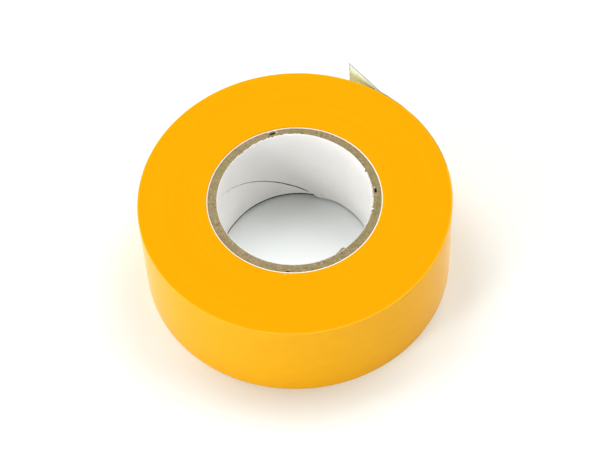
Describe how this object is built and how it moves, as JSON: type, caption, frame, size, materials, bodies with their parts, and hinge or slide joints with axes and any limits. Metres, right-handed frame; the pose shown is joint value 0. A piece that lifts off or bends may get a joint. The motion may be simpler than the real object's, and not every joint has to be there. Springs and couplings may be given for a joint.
{
  "type": "masking tape roll",
  "caption": "Roll of yellow-orange washi masking tape on a spiral-wound paper tube, with its free end held by a translucent film pull tab.",
  "frame": {"origin": "point of the roll's axis in the plane of its lower end face, which is where the core bore meets the surface that the roll lies on", "axes": "+Z along the roll's axis, up through the upper end face; the free end of the strip runs counter-clockwise seen from above, from +X towards +Y, and the pull tab stands off the back right of the roll, at about 60 degrees from +X"},
  "size_m": [0.0522, 0.0535, 0.018],
  "materials": {
    "tape_yellow": "thin crepe-free washi paper tape, matt, yellow-orange, slightly translucent",
    "board": "grey-brown recycled paperboard, cut edge, fibrous and matt",
    "liner": "smooth white liner paper, matt",
    "wrap": "pale cream wrap paper, matt",
    "film": "thin translucent film, slightly frosted"
  },
  "bodies": {
    "roll": {"core_liner": "liner", "core_ply_1": "board", "core_ply_2": "board", "core_ply_3": "board", "core_ply_4": "board", "core_wrap": "wrap", "tape_pack": "tape_yellow"},
    "tape_end_1": {"tape_end_1": "tape_yellow"},
    "tape_end_2": {"tape_end_2": "tape_yellow"},
    "tape_end_3": {"tape_end_3": "tape_yellow", "pull_tab_root": "film"},
    "pull_tab": {"pull_tab": "film"}
  },
  "joints": [
    {"name": "tape_peel_1", "type": "hinge", "parent": "roll", "child": "tape_end_1", "pos_m": [0.02574, 0.00454, 0.009], "axis": [0, 0, -1], "range_deg": [0, 40]},
    {"name": "tape_peel_2", "type": "hinge", "parent": "tape_end_1", "child": "tape_end_2", "pos_m": [0.02388, 0.01063, 0.009], "axis": [0, 0, -1], "range_deg": [0, 40]},
    {"name": "tape_peel_3", "type": "hinge", "parent": "tape_end_2", "child": "tape_end_3", "pos_m": [0.02066, 0.01614, 0.009], "axis": [0, 0, -1], "range_deg": [0, 40]},
    {"name": "tab_lift", "type": "hinge", "parent": "tape_end_3", "child": "pull_tab", "pos_m": [0.0161, 0.02063, 0.009], "axis": [0, 0, -1], "range_deg": [-12, 120], "stiffness_Nm_per_rad": 0.00001}
  ],
  "couplings": [
    {"joint": "tape_peel_2", "follows": "tape_peel_1", "ratio": 1},
    {"joint": "tape_peel_3", "follows": "tape_peel_1", "ratio": 1}
  ]
}
